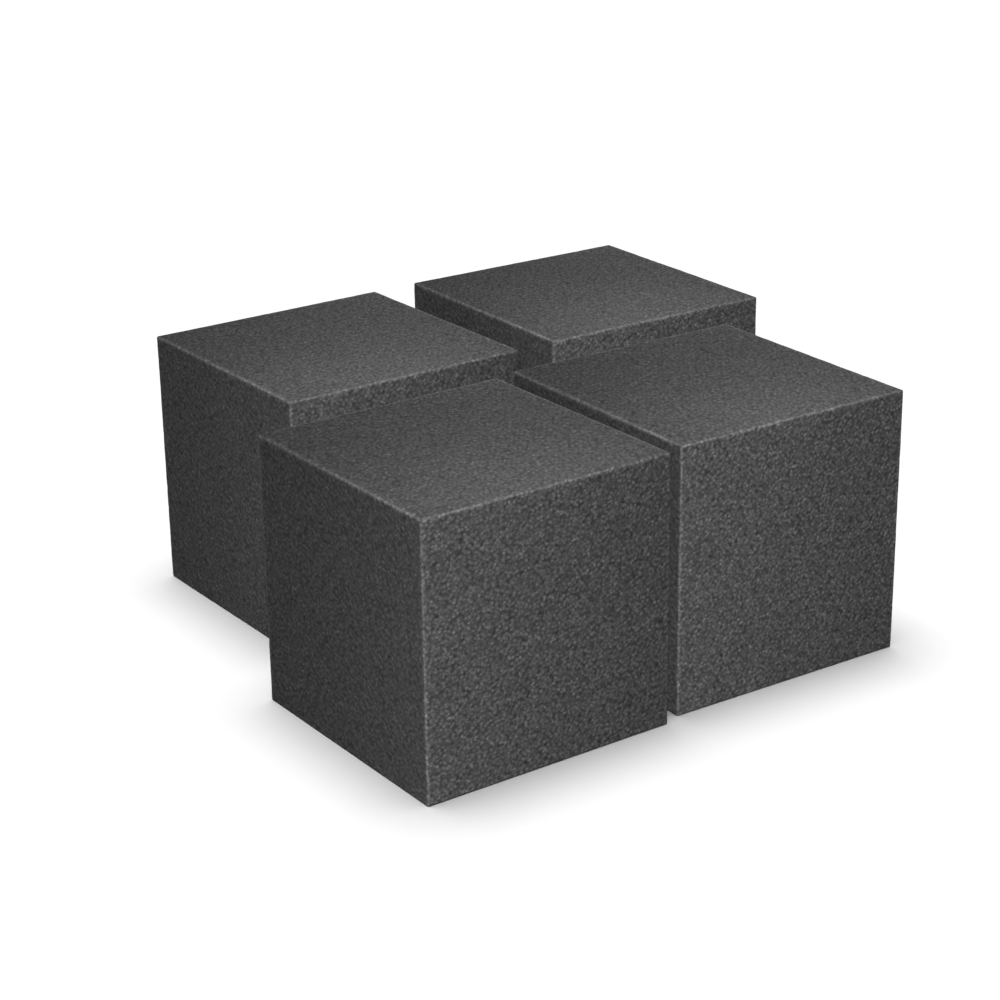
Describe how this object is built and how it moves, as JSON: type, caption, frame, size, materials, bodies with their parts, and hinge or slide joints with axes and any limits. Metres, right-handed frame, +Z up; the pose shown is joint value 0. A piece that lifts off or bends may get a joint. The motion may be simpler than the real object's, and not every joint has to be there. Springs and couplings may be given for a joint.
{
  "type": "corner bass trap",
  "caption": "Set of equal solid cubes of charcoal acoustic foam that damp low notes when glued into the corners of a room.",
  "frame": {"origin": "on the floor, under the middle of the outline of the whole set as it stands", "axes": "+Z up; +X to the right along the front row of blocks; +Y from the front row to the rear row"},
  "size_m": [0.7458, 0.6772, 0.3048],
  "materials": {
    "foam": "matt cut face of charcoal open-cell polyurethane foam, with fine cells and a paler worn edge"
  },
  "bodies": {
    "root": {"front_left_block": "foam", "front_right_block": "foam", "rear_left_block": "foam", "rear_right_block": "foam"}
  },
  "joints": []
}
